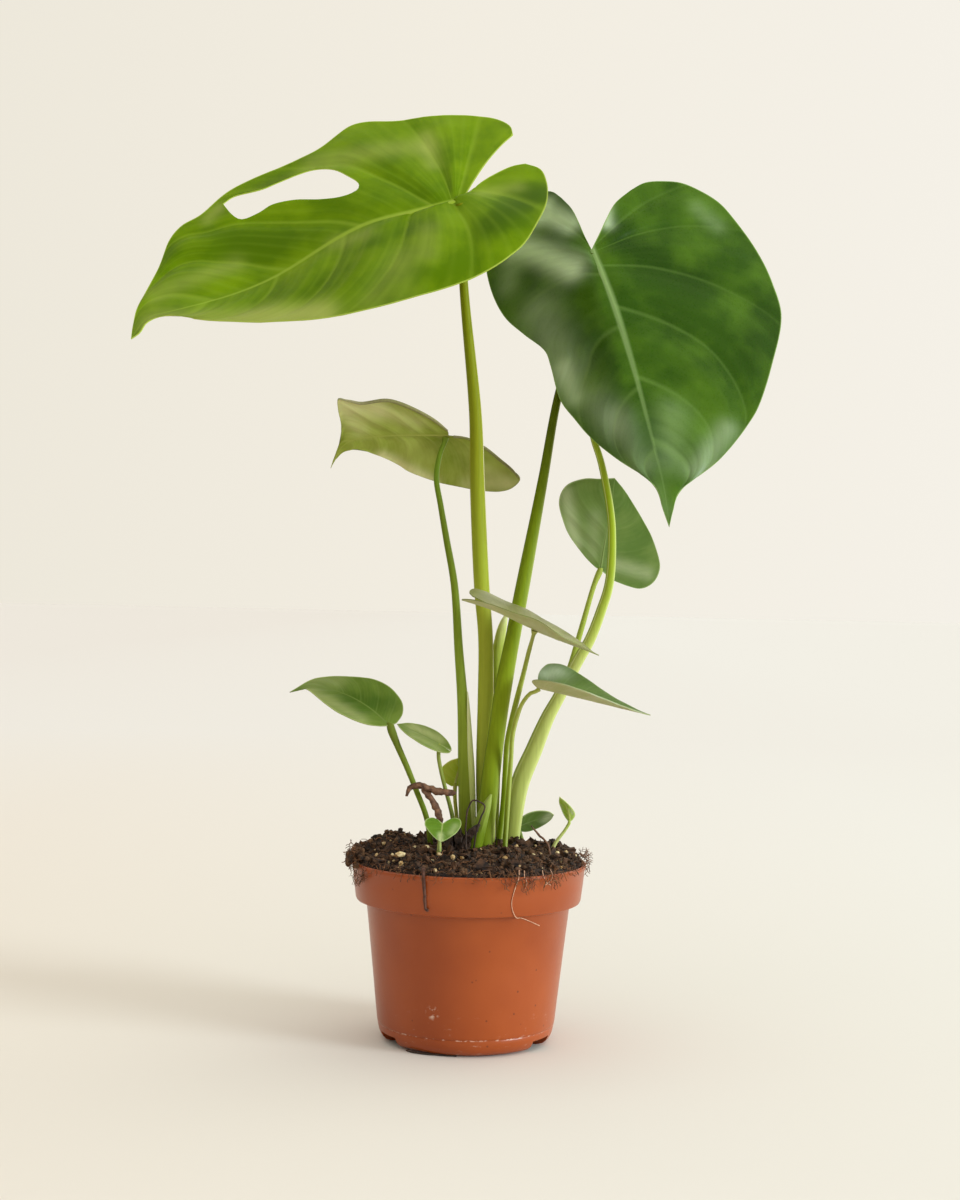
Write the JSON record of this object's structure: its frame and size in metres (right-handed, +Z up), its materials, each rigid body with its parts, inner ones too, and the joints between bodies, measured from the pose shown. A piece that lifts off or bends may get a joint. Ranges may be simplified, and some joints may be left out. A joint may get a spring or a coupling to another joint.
{
  "type": "potted monstera plant",
  "caption": "Young monstera plant with heart-shaped blades on long curved stalks, growing in soil in a round moulded plastic pot with a wide collar.",
  "frame": {"origin": "middle of the pot's flat base, on the surface that the pot stands on", "axes": "+Z up along the pot's axis; -Y towards the front, the side that the picture shows; +X to the right seen from the front"},
  "size_m": [0.3353, 0.1328, 0.4841],
  "materials": {
    "terracotta_plastic": "satin, finely scratched",
    "potting_soil": "rough and crumbly",
    "leaf_yellow_green": "satin",
    "leaf_dark_green": "satin",
    "leaf_olive_underside": "matt",
    "leaf_grey_green": "matt",
    "leaf_mid_green": "satin",
    "leaf_pale": "satin",
    "leaf_young": "glossy",
    "petiole_olive": "satin",
    "petiole_green": "satin",
    "petiole_bright": "satin",
    "sheath_pale": "matt",
    "plant_dried": "dry and matt",
    "plant_dark": "dry and matt"
  },
  "bodies": {
    "root": {"pot": "terracotta_plastic", "soil": "potting_soil", "petiole_left_large": "petiole_olive", "petiole_right_large": "petiole_green", "petiole_mid_left": "petiole_green", "petiole_hidden": "petiole_bright", "petiole_upright": "petiole_green", "petiole_edge_on": "petiole_green", "petiole_low_right": "petiole_green", "petiole_low_left": "petiole_bright", "petiole_small_left": "petiole_green", "petiole_small_middle": "leaf_pale", "petiole_base_left": "petiole_bright", "petiole_base_right": "petiole_green", "petiole_seedling": "leaf_young", "sheath_new_shoot": "sheath_pale", "sheath_green": "petiole_bright", "sheath_dried": "plant_dark", "twig": "plant_dried", "stalk_dried": "plant_dried", "loop_dark": "plant_dark", "blade_left_large": "leaf_yellow_green", "blade_right_large": "leaf_dark_green", "blade_mid_left": "leaf_olive_underside", "blade_upright": "leaf_grey_green", "blade_hidden": "leaf_mid_green", "blade_edge_on": "leaf_olive_underside", "blade_low_right": "leaf_dark_green", "blade_low_left": "leaf_mid_green", "blade_small_left": "leaf_grey_green", "blade_small_middle": "leaf_pale", "blade_base_left": "petiole_bright", "blade_base_right": "leaf_grey_green", "blade_seedling": "leaf_young"}
  },
  "joints": []
}
